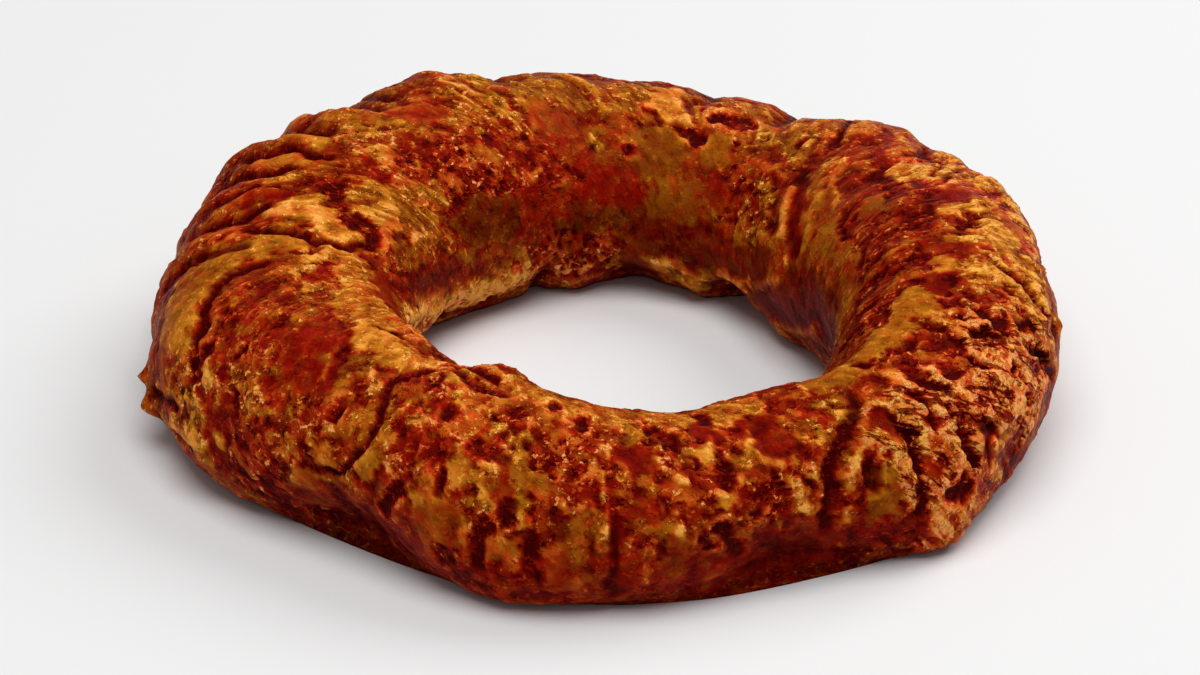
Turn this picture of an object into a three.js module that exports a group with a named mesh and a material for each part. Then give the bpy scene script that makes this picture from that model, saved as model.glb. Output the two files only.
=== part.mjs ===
// A simit: a ring of bread twisted from strands of dough, proved until the strands
// grow into one another, and baked as one piece on a flat tray.
//
// Millimetres, +Z up. The ring lies flat on the XY plane. The origin is the middle
// of its bounding box in X and Y, at the level of the tray. Ring angles run
// counter-clockwise from +X. Tube angles run from the outer side (0) over the
// crown (90) to the hole side (180).
import * as THREE from "three";

// The tube of dough at evenly spaced places around the ring, starting at +X:
// middle radius, half width and height of each section.
const SECTIONS = [
  [49.0, 19.0, 32.5],
  [48.0, 20.5, 28.5],
  [50.0, 20.0, 24.5],
  [50.5, 19.0, 26.5],
  [49.5, 20.0, 31.0],
  [50.5, 20.5, 30.5],
  [52.0, 20.0, 27.5],
  [50.5, 19.5, 26.5],
  [48.5, 18.5, 26.0],
  [51.0, 16.5, 24.0],
  [54.5, 15.0, 25.0],
  [53.0, 16.0, 30.5],
];

// The section's outline: widest at this share of the height, with sides a little
// squarer than an ellipse, and a base pressed flat by the tray.
const WIDEST_AT = 0.45;
const SIDE_SQUARENESS = 0.9;
const BASE_FLATTENING = 1.3;

// The twist: ridges of the strands that cross the tube, and how far a ridge leans
// along the ring, in degrees, on its way from one side of the tube to the other.
const RIDGES = 30;
const RIDGE_LEAN = 9;
const RIDGE_RELIEF = 0.7;

// Swellings of the crust, and dents where it is negative: ring angle and tube angle
// in degrees, reach along the ring and across the tube, and height.
const SWELLINGS = [
  [46, 56, 9, 8, 2.2],
  [59, 54, 8, 9, -2],
  [122, 60, 6, 7, 1.5],
  [151, 42, 6, 7, 1.2],
  [170, 20, 9, 12, -1.6],
  [190, -12, 6, 7, 2.6],
  [224, -36, 17, 12, -6],
  [250, -30, 9, 9, 1.5],
  [298, -36, 15, 12, -6],
  [319, -34, 8, 8, 3],
  [60, 220, 8, 8, -4],
  [111, 222, 5, 7, -4],
  [141, 220, 8, 8, -4],
  [229, 136, 9, 9, -2.2],
  [243, 128, 5, 7, 1.6],
  [298, 128, 9, 8, 1.6],
  [313, 134, 7, 8, -2.2],
];

// Facets around the tube and along the ring.
const TUBE_SIDES = 20;
const RING_SIDES = 144;

const CRUST = { color: 0xa5561c, roughness: 0.55, metalness: 0 };

const radians = THREE.MathUtils.degToRad;
const sectionCurve = new THREE.CatmullRomCurve3(
  SECTIONS.map((s) => new THREE.Vector3(...s)),
  true,
);

// The section at a ring angle, in radians.
function sectionAt(ring) {
  const turn = THREE.MathUtils.euclideanModulo(ring / (2 * Math.PI), 1);
  const { x: middle, y: halfWidth, z: height } = sectionCurve.getPoint(turn);
  return { middle, halfWidth, height };
}

// The difference between two angles, brought into -180 to 180 degrees.
function angleBetween(a, b) {
  return THREE.MathUtils.euclideanModulo(a - b + Math.PI, 2 * Math.PI) - Math.PI;
}

// How far the crust stands out of the plain section, which is nothing at the base.
function reliefAt(ring, tube, section) {
  const aboveBase = THREE.MathUtils.smoothstep(Math.sin(tube), -0.8, -0.3);
  const lean = (radians(RIDGE_LEAN) * (tube - Math.PI / 2)) / Math.PI;
  let relief = -RIDGE_RELIEF * Math.cos(RIDGES * (ring + lean));
  for (const [ringAt, tubeAt, along, across, height] of SWELLINGS) {
    const alongRing = angleBetween(ring, radians(ringAt)) * section.middle;
    const acrossTube = angleBetween(tube, radians(tubeAt)) * section.halfWidth;
    relief += height * Math.exp(-((alongRing / along) ** 2) - (acrossTube / across) ** 2);
  }
  return relief * aboveBase;
}

// The point of the crust at a ring angle and a tube angle, in radians.
function crustPoint(ring, tube) {
  const section = sectionAt(ring);
  const { middle, halfWidth, height } = section;
  const cos = Math.cos(tube);
  const sin = Math.sin(tube);
  const relief = reliefAt(ring, tube, section);
  const waist = WIDEST_AT * height;
  const out = Math.sign(cos) * Math.abs(cos) ** SIDE_SQUARENESS * halfWidth + relief * cos;
  const up = sin > 0 ? (height - waist + relief) * sin : waist * Math.max(-1, BASE_FLATTENING * sin);
  const radius = middle + out;
  return new THREE.Vector3(radius * Math.cos(ring), radius * Math.sin(ring), waist + up);
}

// The ring: a torus whose points are moved onto the crust.
function breadRing() {
  const torus = new THREE.TorusGeometry(2, 1, TUBE_SIDES, RING_SIDES);
  const points = torus.getAttribute("position");
  const at = new THREE.Vector3();
  for (let i = 0; i < points.count; i++) {
    at.fromBufferAttribute(points, i);
    const ring = Math.atan2(at.y, at.x);
    const tube = Math.atan2(at.z, Math.hypot(at.x, at.y) - 2);
    points.setXYZ(i, ...crustPoint(ring, tube));
  }
  torus.computeBoundingBox();
  const centre = torus.boundingBox.getCenter(new THREE.Vector3());
  torus.translate(-centre.x, -centre.y, -torus.boundingBox.min.z);
  torus.computeVertexNormals();
  return torus;
}

const simit = new THREE.Mesh(breadRing(), new THREE.MeshStandardMaterial(CRUST));
simit.name = "simit";

const part = new THREE.Group();
part.add(simit);

export default part;
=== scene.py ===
# %% [markdown]
# # A simit, the ring bread
#
# A simit is two or three ropes of dough, twisted together, closed into a ring, dipped in
# syrup and baked dark on a flat tray. The ropes swell into one another in the oven, so the
# loaf is one piece: all that is left of the twist is folds, ridges and burst bubbles in a
# glossy crust.
#
# The frame is the plain solid ring at its real size. This script keeps its place and size
# and lays a finely modelled crust over it.

# %% Load the plain ring
import math
import random

import bmesh
import bpy
import numpy as np
from mathutils import Matrix, Vector, noise
from mathutils.bvhtree import BVHTree


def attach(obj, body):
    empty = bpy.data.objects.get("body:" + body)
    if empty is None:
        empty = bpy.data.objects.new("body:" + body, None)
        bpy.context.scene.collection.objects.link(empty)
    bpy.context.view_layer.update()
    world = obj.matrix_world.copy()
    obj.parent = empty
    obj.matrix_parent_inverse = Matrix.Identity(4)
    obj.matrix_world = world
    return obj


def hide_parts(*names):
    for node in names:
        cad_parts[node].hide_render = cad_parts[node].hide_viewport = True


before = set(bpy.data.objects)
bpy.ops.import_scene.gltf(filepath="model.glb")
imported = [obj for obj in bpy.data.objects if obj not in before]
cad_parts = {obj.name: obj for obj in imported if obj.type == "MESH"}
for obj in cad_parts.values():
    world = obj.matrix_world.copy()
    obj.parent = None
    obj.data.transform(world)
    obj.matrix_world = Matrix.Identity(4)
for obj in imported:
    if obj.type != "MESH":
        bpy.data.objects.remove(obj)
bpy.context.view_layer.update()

MM = 0.001

# %% [markdown]
# ## The dough before it cracks
#
# The first shape is the smooth, swollen ring: wide and low, pressed flat by the tray. It
# could be traced from the plain ring's surface, but that has facets. Instead the plain ring
# is measured at every step around it: the outer and inner edge at its waist, and its
# height. A round section is then spun into a torus, and each of its points is placed in a
# section with those measures. The hole isn't quite in the middle of the loaf, so the
# measures are taken around the hole's centre.

# %% Measure the plain ring
RING_STEPS = 600
TUBE_STEPS = 160
WAIST_HEIGHT = 0.45
FAR_OUT = 0.2
FIRST_HEIGHT = 0.028
MEASURING_ROUNDS = 3
SMOOTHING_STEPS = 9
HOLE_CENTRE = Vector((0.002, -0.001, 0))

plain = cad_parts["simit"]
plain_surface = BVHTree.FromPolygons(
    [vertex.co for vertex in plain.data.vertices],
    [polygon.vertices for polygon in plain.data.polygons],
)


def measured_section(angle):
    """Middle radius, half width and height of the plain ring at a ring angle, in mm."""
    outward = Vector((math.cos(angle), math.sin(angle), 0))
    height = FIRST_HEIGHT
    for _ in range(MEASURING_ROUNDS):
        waist = Vector((0, 0, WAIST_HEIGHT * height))
        start = HOLE_CENTRE + waist
        outer = (plain_surface.ray_cast(start + outward * FAR_OUT, -outward)[0] - start).length
        inner = (plain_surface.ray_cast(start, outward)[0] - start).length
        middle = (outer + inner) / 2
        half_width = (outer - inner) / 2
        above = HOLE_CENTRE + outward * middle + Vector((0, 0, FAR_OUT))
        height = plain_surface.ray_cast(above, Vector((0, 0, -1)))[0].z
    return middle / MM, half_width / MM, height / MM


def smoothed_round(values, steps):
    """A running mean around the ring, which irons out the plain ring's facets and ridges."""
    for _ in range(3):
        values = sum(np.roll(values, step, 0) for step in range(-steps, steps + 1)) / (2 * steps + 1)
    return values


ring_angles = np.arange(RING_STEPS) * 2 * math.pi / RING_STEPS
measured = np.array([measured_section(angle) for angle in ring_angles])
sections = smoothed_round(measured, SMOOTHING_STEPS)
print("middle radius, half width and height at +X, mm:", sections[0].round(1))

# %% [markdown]
# ## A torus to shape
#
# The baker rolls a rope and closes it into a ring; the same two steps make the mesh. A
# circle stands on its edge and is spun all the way round, with its last ring merged into
# its first. Blender's own torus would give the same shape, but the spin also works for any
# other section. A coarse torus is spun and then cut finer, which is much faster than
# spinning every ring.

# %% Spin a round section into a torus
SPUN_RADIUS = 1.0
SPUN_TUBE = 0.4
FINER = 4

rope = bmesh.new()
bmesh.ops.create_circle(rope, segments=TUBE_STEPS // FINER, radius=SPUN_TUBE)
bmesh.ops.rotate(rope, verts=rope.verts[:], matrix=Matrix.Rotation(math.pi / 2, 3, "X"))
bmesh.ops.translate(rope, verts=rope.verts[:], vec=(SPUN_RADIUS, 0, 0))
bmesh.ops.spin(
    rope, geom=rope.verts[:] + rope.edges[:], cent=(0, 0, 0), axis=(0, 0, 1),
    angle=2 * math.pi, steps=RING_STEPS // FINER, use_merge=True,
)
bmesh.ops.subdivide_edges(rope, edges=rope.edges[:], cuts=FINER - 1, use_grid_fill=True)
bmesh.ops.recalc_face_normals(rope, faces=rope.faces[:])
crust_mesh = bpy.data.meshes.new("simit_crust")
rope.to_mesh(crust_mesh)
rope.free()
print("torus:", len(crust_mesh.vertices), "points,", len(crust_mesh.polygons), "faces")

# %% [markdown]
# ## Every point gets a row and a column
#
# The points of the torus come in no useful order. Each one's angles say how far round the
# ring and how far round the tube it lies, so the whole crust can be worked on as one grid:
# a row for each step around the ring, a column for each step around the tube. The base
# rests on the tray and shows nothing, so it gets few of the columns.

# %% Find each point's place on the dough
BASE_SHARE = 0.1
BASE_ANGLE = 36


def tube_angle_of(turn):
    """Tube angle in degrees at a share of a turn: few points under the base, most above it."""
    from_base = (turn + 0.25 + BASE_SHARE / 2) % 1.0
    under = 2 * BASE_ANGLE * from_base / BASE_SHARE - BASE_ANGLE
    above = BASE_ANGLE + (360 - 2 * BASE_ANGLE) * (from_base - BASE_SHARE) / (1 - BASE_SHARE)
    return np.where(from_base < BASE_SHARE, under, above) % 360 - 90


spun = np.empty(len(crust_mesh.vertices) * 3)
crust_mesh.vertices.foreach_get("co", spun)
spun = spun.reshape(-1, 3)
spun_turn = np.arctan2(spun[:, 1], spun[:, 0]) / (2 * math.pi)
row_of = np.round(spun_turn * RING_STEPS).astype(int) % RING_STEPS
tube_turn = np.arctan2(spun[:, 2], np.hypot(spun[:, 0], spun[:, 1]) - SPUN_RADIUS) / (2 * math.pi)
column_of = np.round(tube_turn * TUBE_STEPS).astype(int) % TUBE_STEPS
assert len(set(zip(row_of.tolist(), column_of.tolist()))) == len(spun)

ring_deg = np.degrees(ring_angles)[:, None] * np.ones((1, TUBE_STEPS))
tube_deg = tube_angle_of(np.arange(TUBE_STEPS) / TUBE_STEPS)[None] * np.ones((RING_STEPS, 1))
print("grid of points:", ring_deg.shape)

# %% [markdown]
# ## The smooth ring
#
# Baked dough is rounder than a box and squarer than a pipe: its sides swell and its base
# is pressed flat. Scaling a torus can't do that. Each section is worked out from its three
# measures instead, with a power that fills out the sides and a floor that cuts the bottom.

# %% Place the points on the smooth dough
SIDE_SQUARENESS = 0.9
BASE_FLATTENING = 1.3


def smooth_dough():
    """Positions in mm on the smooth ring, one row for each ring step."""
    middle, half_width, height = (sections[:, index, None] for index in range(3))
    ring = np.radians(ring_deg)
    cosine, sine = np.cos(np.radians(tube_deg)), np.sin(np.radians(tube_deg))
    waist = WAIST_HEIGHT * height
    radius = middle + half_width * np.sign(cosine) * np.abs(cosine) ** SIDE_SQUARENESS
    above = (height - waist) * sine
    below = waist * np.maximum(-1, BASE_FLATTENING * sine)
    upright = waist + np.where(sine > 0, above, below)
    along_x = HOLE_CENTRE.x / MM + radius * np.cos(ring)
    along_y = HOLE_CENTRE.y / MM + radius * np.sin(ring)
    return np.stack([along_x, along_y, upright], -1)


points = smooth_dough()
print("smooth dough, mm:", points.min((0, 1)).round(1), points.max((0, 1)).round(1))

# %% [markdown]
# ## Tools for shaping the crust
#
# On the real crust every fold and burst bubble has its own place. A displacement texture
# would scatter them evenly, and a sculpting brush needs a hand on the screen. The way here
# is a brush in code: each mark is a short path in ring and tube angles, in degrees, with a
# width and a height in millimetres. The paths wobble a little, so no edge is straight.
#
# Ring angles run counter-clockwise from +X. Tube angles run from the outer side (0) over
# the crown (90) to the hole side (180) and the foot at the hole (about 230).

# %% Normals and noise on the dough
def normals_of(grid):
    """Outward normals of the grid of points."""
    along = np.roll(grid, -1, 0) - np.roll(grid, 1, 0)
    across = np.roll(grid, -1, 1) - np.roll(grid, 1, 1)
    normal = np.cross(along, across)
    return normal / np.linalg.norm(normal, axis=-1, keepdims=True)


def noise_at(places, size, seed=0):
    """Smooth noise, about -1 to 1, with bumps about `size` mm wide."""
    shift = Vector((seed * 17.3, seed * 5.1, seed * 9.7))
    values = [noise.noise(Vector(place) + shift) for place in places.reshape(-1, 3) / size]
    return np.array(values).reshape(places.shape[:-1])


def soft_step(values, low, high):
    """Rises smoothly from 0 at `low` to 1 at `high`; falls when `low` is the greater."""
    share = np.clip((values - low) / (high - low), 0, 1)
    return share * share * (3 - 2 * share)


# %% [markdown]
# ## Measures on the dough, and a trembling hand
#
# Marks are given in degrees and drawn in millimetres, so each point knows how long a degree
# is where it lies. Nothing on bread is straight: every path trembles, and the edges of
# painted patches wander.

# %% Millimetres per degree, and the wobble of the marks
TREMORS = [(0.9, 4.5), (0.65, 1.9), (0.3, 1.1)]

dough = points.copy()
from_centre = dough[..., :2] - np.array(HOLE_CENTRE.xy) / MM
mm_per_ring_degree = np.hypot(from_centre[..., 0], from_centre[..., 1]) * math.pi / 180
mm_per_tube_degree = (sections[:, 1, None] + sections[:, 2, None] / 2) / 2 * math.pi / 180


def trembling(first_seed):
    """Sum of the tremors, each with its own strength and size in mm."""
    return sum(
        strength * noise_at(dough, size, first_seed + number)
        for number, (strength, size) in enumerate(TREMORS)
    )


wobble = np.stack([trembling(1), trembling(5)], -1)
ragged = soft_step(noise_at(dough, 3, 9), -0.25, 0.3)
edge_wander = noise_at(dough, 2.6, 41)
print("wobble of the paths, mm:", wobble.min().round(2), "to", wobble.max().round(2))

# %% [markdown]
# ## The distance to a path
#
# A brush needs to know how far each point is from its stroke. The path is a chain of
# straight hops; for each hop the nearest place on it is found, and the smallest distance
# wins. The side and the share of the way come along, for lips and for tapered ends.

# %% How far every point lies from a path
FARTHER_THAN_ANY = 1e6
SMALLEST_SQUARE = 1e-6


def corner_mm(corner, start):
    """A path's corner in mm from the path's start, in the measure of each point."""
    turned = (corner[0] - start[0] + 180) % 360 - 180
    along = turned * mm_per_ring_degree
    across = (corner[1] - start[1]) * mm_per_tube_degree
    return np.stack(np.broadcast_arrays(along, across), -1)


def measured_from(path):
    """Distance in mm to a path, the side that a point lies on, and its share of the way."""
    start = path[0]
    ring_gap = (ring_deg - start[0] + 180) % 360 - 180
    tube_gap = (tube_deg - start[1] + 180) % 360 - 180
    here = np.stack([ring_gap * mm_per_ring_degree, tube_gap * mm_per_tube_degree], -1) + wobble
    hops = list(zip(path, path[1:])) or [(start, start)]
    nearest = np.full(ring_deg.shape, FARTHER_THAN_ANY)
    side = np.zeros(ring_deg.shape)
    way = np.zeros(ring_deg.shape)
    for number, (one, two) in enumerate(hops):
        first = corner_mm(one, start)
        hop = corner_mm(two, start) - first
        length_squared = np.maximum((hop**2).sum(-1), SMALLEST_SQUARE)
        share = np.clip(((here - first) * hop).sum(-1) / length_squared, 0, 1)
        gap = here - first - hop * share[..., None]
        distance = np.hypot(gap[..., 0], gap[..., 1])
        nearer = distance < nearest
        nearest = np.where(nearer, distance, nearest)
        side = np.where(nearer, np.sign(gap[..., 0] * hop[..., 1] - gap[..., 1] * hop[..., 0]), side)
        way = np.where(nearer, (number + share) / len(hops), way)
    return nearest, side, way


# %% [markdown]
# ## What a mark changes
#
# A place on the crust has a height, a browning from black to pale gold, and a share of
# syrup, which turns the browning from gold to red. The browning also carries painted shade,
# darker in folds, pits and hollows, and painted highlights, paler on ridges and crests. A
# place also has a texture: streaks of pulled dough, blisters or craters. Each is one more
# grid that the marks are painted into. They could be painted by hand as vertex colours, but
# numbers can be corrected one by one.

# %% The fields that marks are painted into
relief = np.zeros(ring_deg.shape)
# The browning also takes the painted shade and painted highlights that the marks and the shape add.
browning_and_painted_light = np.full(ring_deg.shape, 0.36)
streaks = np.full(ring_deg.shape, 0.25)
blisters = np.full(ring_deg.shape, 0.6)
craters = np.zeros(ring_deg.shape)
syrup = np.full(ring_deg.shape, 0.6)
TEXTURES = {"streaks": streaks, "blisters": blisters, "craters": craters}
print("fields:", ["relief", "browning_and_painted_light", "syrup"] + list(TEXTURES))


def blend_in(field, value, weight):
    """Paints a value into a field, fully where the weight is 1."""
    field += (value - field) * weight


END_OF_TAPER = -0.02
START_OF_TAPER = 0.16


def ends_of(way):
    """1 along a path, falling to 0 at its two ends."""
    return soft_step(np.minimum(way, 1 - way), END_OF_TAPER, START_OF_TAPER)


# %% [markdown]
# ## Four marks
#
# A fold is where one strand tucks under another: deep and sticky, its groove painted
# dark as shade and its lip painted paler as a highlight. A ridge is a cord of dough that
# stands up and browns less red, painted paler along its top as a highlight. A pit is a
# burst bubble full of syrup, painted dark inside as shade, with a rim painted paler as a
# highlight. Skin is a stretch of crust with one tone and texture. All four are made the
# same way, from the distance to a path, so they can be laid over one another in any order.

# %% The marks: folds, ridges, pits and stretches of skin
# The tone in a fold's groove is painted shade; the tones on a fold's lip and a pit's rim are painted
# highlights.
FOLD_SHADE_TONE = 0.15
PIT_RIM_HIGHLIGHT_TONE = 0.7
LIP_HIGHLIGHT_TONE = 0.75
LIP_PLACE = 1.8
PIT_RIM_WIDTH = 0.5
EDGE_WANDER = 0.7
WIDEST_WANDER = 5
SMOOTH_SKIN = 0.08
DARK_SKIN = 0.26
SYRUP_ON_DARK_SKIN = 0.95


def fold(path, width, depth, lip=0.0, lip_side=1):
    """A crease where one strand tucks under another, with painted shade in its groove and a painted highlight
    on its lip; the lip rises towards +ring on side 1.
    """
    distance, side, way = measured_from(path)
    groove = np.exp(-((distance / width) ** 2)) * ends_of(way)
    from_lip = (distance - LIP_PLACE * width) / width
    ridge_line = np.exp(-(from_lip**2)) * (side == lip_side) * ends_of(way)
    relief[:] += lip * ridge_line - 0.75 * depth * groove
    blend_in(browning_and_painted_light, FOLD_SHADE_TONE, groove)
    blend_in(syrup, 1, groove)
    blend_in(browning_and_painted_light, LIP_HIGHLIGHT_TONE, min(1, lip) * 0.7 * ridge_line)


def ridge(path, width, height, tone=0.85):
    """A raised cord of dough, painted lighter along its top as a highlight."""
    distance, _, way = measured_from(path)
    top = np.exp(-((distance / width) ** 2)) * ends_of(way)
    relief[:] += 0.6 * height * top
    blend_in(browning_and_painted_light, tone, top * (0.35 + 0.65 * ragged))
    blend_in(syrup, 0.45, top)


def pit(path, width, depth, tone=0.3):
    """A burst bubble: a hollow with a steep wall, painted dark inside as shade, and a thin raised rim painted
    paler as a highlight.
    """
    distance, _, _ = measured_from(path)
    inside = soft_step(distance, width * 1.2, width * 0.55)
    rim = np.exp(-(((distance - width * 1.3) / PIT_RIM_WIDTH) ** 2)) * ragged
    relief[:] += 0.15 * depth * rim - 0.5 * depth * inside
    blend_in(browning_and_painted_light, tone, inside)
    blend_in(browning_and_painted_light, PIT_RIM_HIGHLIGHT_TONE, 0.45 * rim)
    blend_in(streaks, 0.1, inside)
    blend_in(blisters, 0.7, inside)
    blend_in(craters, 0, inside)
    blend_in(syrup, 1, soft_step(distance, width * 1.5, width))


def skin(path, width, tone, height=0.0, **textures):
    """A stretch of skin with its own browning and textures, swollen or sunk."""
    distance, _, _ = measured_from(path)
    edge = distance + EDGE_WANDER * min(width, WIDEST_WANDER) * edge_wander
    inside = soft_step(edge, width * 1.1, width * 0.85)
    relief[:] += 0.5 * height * np.exp(-((distance / width) ** 2))
    blend_in(browning_and_painted_light, tone, inside)
    for name, field in TEXTURES.items():
        blend_in(field, textures.get(name, SMOOTH_SKIN), inside)
    usual = 0.15 + 0.45 * textures.get("blisters", SMOOTH_SKIN) + 0.4 * textures.get("craters", 0)
    if tone < DARK_SKIN:
        usual = SYRUP_ON_DARK_SKIN
    blend_in(syrup, textures.get("syrup", usual), inside)


# %% [markdown]
# ## Strands and swellings
#
# The first marks are the big ones: where the ropes swell out of the ring and where it is
# drawn in under them.

# %% Swellings and hollows
SWELLINGS = [
    ([(47, 60)], 7, 1.2), ([(22, 46)], 4, 0.5), ([(122, 60)], 5, 1.0), ([(168, 24)], 9, -1.0),
    ([(183, 6)], 7, -1.2), ([(190, -3)], 1.4, 1.8), ([(192, -15)], 1.7, 2.2),
    ([(204, -24)], 8, 1.5), ([(231, -36)], 12, -4.7), ([(256, -30)], 9, 2.2),
    ([(293, -36)], 16, -4.3), ([(316, -36)], 7, 2.8), ([(329, -14)], 4, -0.9),
    ([(350, 16)], 1.6, 1.2), ([(4, 8)], 9, -1.6), ([(352, 196)], 8, -1.9),
    ([(214, 140)], 6, 0.8), ([(296, 108)], 12, -0.6), ([(229, 132)], 7, -1.8),
    ([(243, 126)], 4, 1.6), ([(298, 126)], 7, 1.4), ([(313, 130)], 6, -1.8),
]
ROPES_ON_THE_RIM = [
    (62, 3.4, -2.0), (75, 2.8, -1.5), (97, 4, 0.4), (109.5, 2.4, -1.1), (119, 3, 0.9),
    (129, 1.6, -0.8), (133, 2.2, -1.2), (139, 2, 1.0), (145, 2.0, -1.5), (151, 2.4, 1.4),
    (158.5, 1.7, -1.2), (164, 1.8, 0.8), (171, 2.4, -1.6), (176, 1.5, 0.5), (180.5, 1.4, -1.0),
]
FOOT_LOBES = [
    (33, 3.7, 1.3), (57, 3.0, -3.0), (67.5, 2.2, 1.6), (85, 3.8, -2.2),
    (99, 2.4, 1.3), (110, 1.8, -2.0), (124, 4, 0.6), (144, 2.6, -1.8),
]
RIM_SPAN = (10, 75)
FOOT_SPAN = (182, 270)


def near(path, reach):
    """1 on a path, fading softly with the distance to it."""
    distance, _, _ = measured_from(path)
    return np.exp(-((distance / reach) ** 2))


for path, reach, height in SWELLINGS:
    relief += height * near(path, reach)
for ring_angle, reach, height in ROPES_ON_THE_RIM:
    relief += height * near([(ring_angle, tube_angle) for tube_angle in RIM_SPAN], reach)
foot = np.zeros(ring_deg.shape)
for ring_angle, reach, height in FOOT_LOBES:
    foot += height * near([(ring_angle, tube_angle) for tube_angle in FOOT_SPAN], reach)
print("swellings:", len(SWELLINGS), "relief, mm:", relief.min().round(1), "to", relief.max().round(1))
print("lobes at the foot:", len(FOOT_LOBES), "mm:", foot.min().round(1), "to", foot.max().round(1))

# %% [markdown]
# ## Ground tones
#
# Before the marks, the crust gets its broad tones: redder where syrup ran down the front,
# darker low inside the hole, which is painted shade, and golden over the crown. A gradient
# would be too even, so these are wide stretches of skin.

# %% Ground tones: what the crust is like where nothing special happens
skin([(236, -12), (262, -16), (300, -20)], 7, 0.38, blisters=0.3, syrup=0.7)
skin([(258, 58), (292, 58)], 8, 0.36, blisters=0.8, syrup=0.85)
skin([(206, 24), (220, 18)], 9, 0.44, blisters=1, syrup=0.6)
skin([(192, 78), (210, 74)], 8, 0.34, blisters=0.4, streaks=0.7, syrup=0.8)
skin([(188, 122), (206, 118)], 7, 0.7, blisters=0.3, streaks=0.7, syrup=0.3)
skin([(58, 152), (122, 152)], 11, 0.4, blisters=0.25, syrup=0.55)
skin([(62, 84), (104, 82)], 5, 0.56, blisters=0.4, streaks=0.8, syrup=0.35)
# Painted shade low on the wall inside the back of the hole, in the next two stretches.
skin([(55, 180), (92, 176)], 6, 0.16, blisters=0.15, syrup=0.6)
skin([(92, 170), (122, 168)], 4, 0.26, blisters=0.2, syrup=0.15)
skin([(114, 160), (128, 150)], 7, 0.3, blisters=0.2, syrup=0.75)
skin([(126, 136), (148, 128)], 8, 0.36, blisters=1, syrup=0.85)
skin([(120, 100), (140, 94)], 6, 0.46, blisters=0.7, syrup=0.6)
skin([(154, 136), (162, 116)], 6.5, 0.62, blisters=0.5, streaks=0.8, syrup=0.15)
skin([(158, 84), (172, 70)], 8, 0.36, blisters=0.5, streaks=0.7, syrup=0.7)
skin([(0, 150), (44, 146)], 11, 0.44, blisters=0.15, streaks=0.3, syrup=0.55)
# Painted shade low on the wall inside the hole at the right.
skin([(354, 178), (10, 180)], 6, 0.15, streaks=0.3, syrup=0.75)
skin([(316, 30), (332, 28), (342, 56)], 12, 0.65, blisters=0.4, craters=1, syrup=0.8)
skin([(345, 62), (8, 62), (28, 66)], 9, 0.62, blisters=0.8, streaks=0.6, craters=0.35, syrup=0.45)
skin([(328, 118), (350, 112), (8, 102)], 7, 0.23, blisters=0.7, streaks=0.5, syrup=0.9)
skin([(313, -16), (320, -18), (328, -8)], 4.5, 0.66, blisters=0.4, streaks=1, syrup=0.45)
print("ground tones painted; browning", browning_and_painted_light.mean().round(2), "syrup", syrup.mean().round(2))

# %% [markdown]
# ## The back left
#
# Here the twist shows best: six or seven strands run up over the rim side by side, with
# dark folds between them, and one wide strand has been rubbed bare and pale. At the foot a
# golden lip of dough spreads over the tray, under a red band of syrup.

# %% Strands and folds at the back left
skin([(118.5, 200), (122, 198)], 1.8, 0.82, 0.6, blisters=0.5, syrup=0.15)
skin([(124, 204), (134, 207), (142, 204)], 3.2, 0.62, 1.0, blisters=0.6, syrup=0.05)
skin([(138, 205), (150, 200), (160, 193), (170, 183), (177, 173)], 2.3, 0.66, blisters=0.9, syrup=0.05)
ridge([(142, 201), (157, 197), (165, 189), (175, 178), (182, 166)], 1.1, 1.0, 0.78)
skin([(128, 190), (148, 187), (160, 178), (171, 166), (178, 155)], 2.2, 0.33, -0.8, streaks=0.5, syrup=0.95)
skin([(148, 180), (158, 174), (166, 166)], 2.4, 0.15, streaks=0.4, syrup=0.9)
skin([(124, 164), (136, 160)], 4.0, 0.22, streaks=0.3, syrup=0.2)
skin([(118, 132), (120, 120)], 3.5, 0.46, blisters=0.8, syrup=0.7)
ridge([(154, 152), (158, 149), (162, 148)], 0.9, 0.5, 0.86)
skin([(159, 131), (165, 121)], 2.6, 0.74, streaks=0.8, syrup=0.15)
skin([(162, 137), (169, 134)], 1.5, 0.5, syrup=0.85)
skin([(168, 126), (168, 112), (160, 100)], 2.0, 0.2, -0.4, blisters=0.9, syrup=1)
skin([(175, 118), (174, 107), (168, 97)], 2.9, 0.7, 0.8, streaks=0.3, blisters=0.2, syrup=0.3)
strand_edge = [(168, 135), (172.5, 131), (176, 124), (178.6, 117), (178.9, 106), (177.6, 95)]
fold(strand_edge + [(176.2, 84), (174, 74)], 0.85, 1.7)
skin([(149.5, 84), (150, 70)], 1.6, 0.52, 0.6, syrup=0.15)
fold([(151.5, 93), (152.8, 88), (153.6, 76), (153.8, 62), (155, 50)], 0.75, 1.5)
skin([(155.6, 84), (156, 60)], 1.2, 0.48, 0.4, syrup=0.5)
fold([(157.8, 86), (158.2, 64), (158, 52)], 0.6, 0.9)
ridge([(160.6, 88), (161, 72), (162, 60)], 0.8, 0.5, 0.6)
fold([(163.6, 86), (164.6, 68), (165.6, 50)], 0.6, 0.9)
skin([(166, 86), (167, 74)], 1.6, 0.17, -0.3, syrup=1)
fold([(169.4, 86), (170.6, 66), (170.4, 48)], 0.7, 1.0)
ridge([(167, 62), (167.6, 50)], 1.0, 0.5, 0.5)
skin([(171, 89), (171.6, 80)], 1.1, 0.6, syrup=0.6)
skin([(139, 99), (147, 96)], 3.2, 0.58, blisters=1, syrup=0.5)
skin([(128, 96), (132, 92)], 3.0, 0.4, syrup=0.75)
skin([(117, 88), (118, 76)], 2.6, 0.64, blisters=0.8, syrup=0.3)
print("back left painted; relief", relief.min().round(1), "to", relief.max().round(1))

# %% [markdown]
# ## The left end's big strand
#
# One smooth strand comes over the crown and sweeps down the outside. It is dull ochre, for
# it shed its syrup, and a deep fold follows its edge all the way down.

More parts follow.
